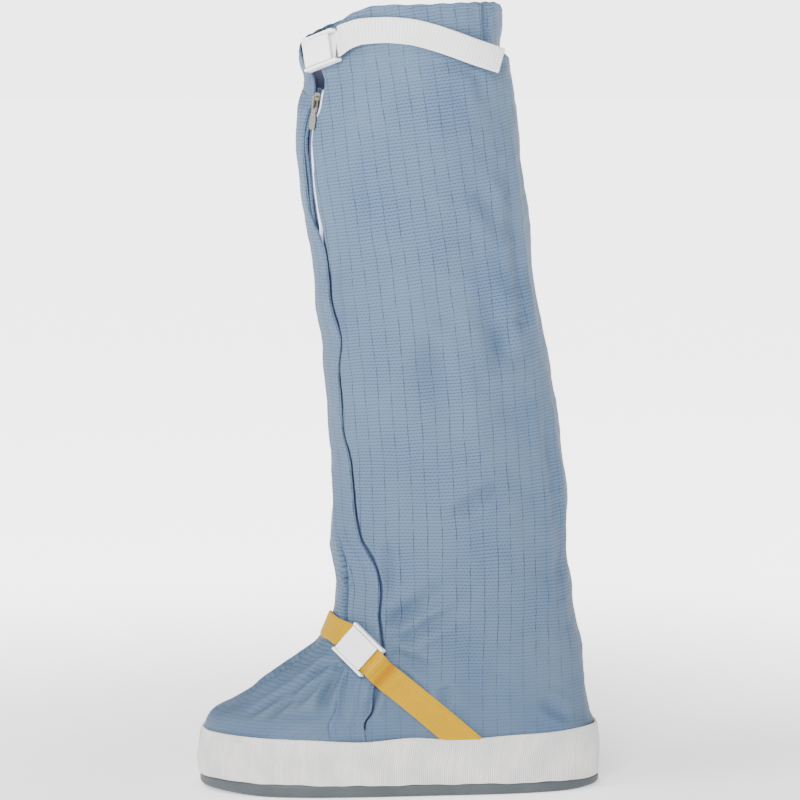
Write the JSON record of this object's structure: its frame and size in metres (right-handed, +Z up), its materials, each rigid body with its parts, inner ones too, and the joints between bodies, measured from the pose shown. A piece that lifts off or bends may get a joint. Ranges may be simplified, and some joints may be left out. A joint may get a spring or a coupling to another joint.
{
  "type": "cleanroom boot",
  "caption": "Knee-high cleanroom overboot with a soft fabric shaft, front zip under a storm flap, woven foot band, flat moulded sole, and buckled straps at collar and ankle.",
  "frame": {"origin": "under the middle of the sole's length and width, on the floor", "axes": "+Z up, -X towards the toe, +X towards the heel, -Y towards the outer side of the left foot"},
  "size_m": [0.2899, 0.1244, 0.5639],
  "materials": {
    "sole_rubber": "matte moulded foam rubber, grey",
    "insole_board": "plain felt-like board",
    "band_weave": "close woven tape, warm white",
    "shaft_fabric": "light blue polyester with dark conductive threads in a grid",
    "zip_tape": "navy woven tape with moulded coil",
    "zip_metal": "nickel-plated die casting",
    "white_webbing": "white cross-ribbed webbing",
    "yellow_webbing": "orange-yellow webbing",
    "buckle_plastic": "white moulded plastic, satin to gloss"
  },
  "bodies": {
    "boot": {"outsole": "sole_rubber", "insole": "insole_board", "sole_band": "band_weave", "upper": "shaft_fabric", "zip_tape_outer": "zip_tape", "zip_tape_inner": "zip_tape", "zip_slider": "zip_metal", "zip_flap": "shaft_fabric", "collar_strap": "white_webbing", "collar_buckle_frame": "buckle_plastic", "collar_buckle_lever": "buckle_plastic", "ankle_strap_outer": "yellow_webbing", "ankle_strap_inner": "yellow_webbing", "ankle_buckle_frame": "buckle_plastic", "ankle_buckle_lever": "buckle_plastic"},
    "pull_tab": {"zip_pull": "zip_metal"}
  },
  "joints": [
    {"name": "pull_tab_swing", "type": "hinge", "parent": "boot", "child": "pull_tab", "pos_m": [-0.06181, -0.03302, 0.49369], "axis": [-0.566, 0.8183, 0.0999], "range_deg": [0, 140]}
  ]
}
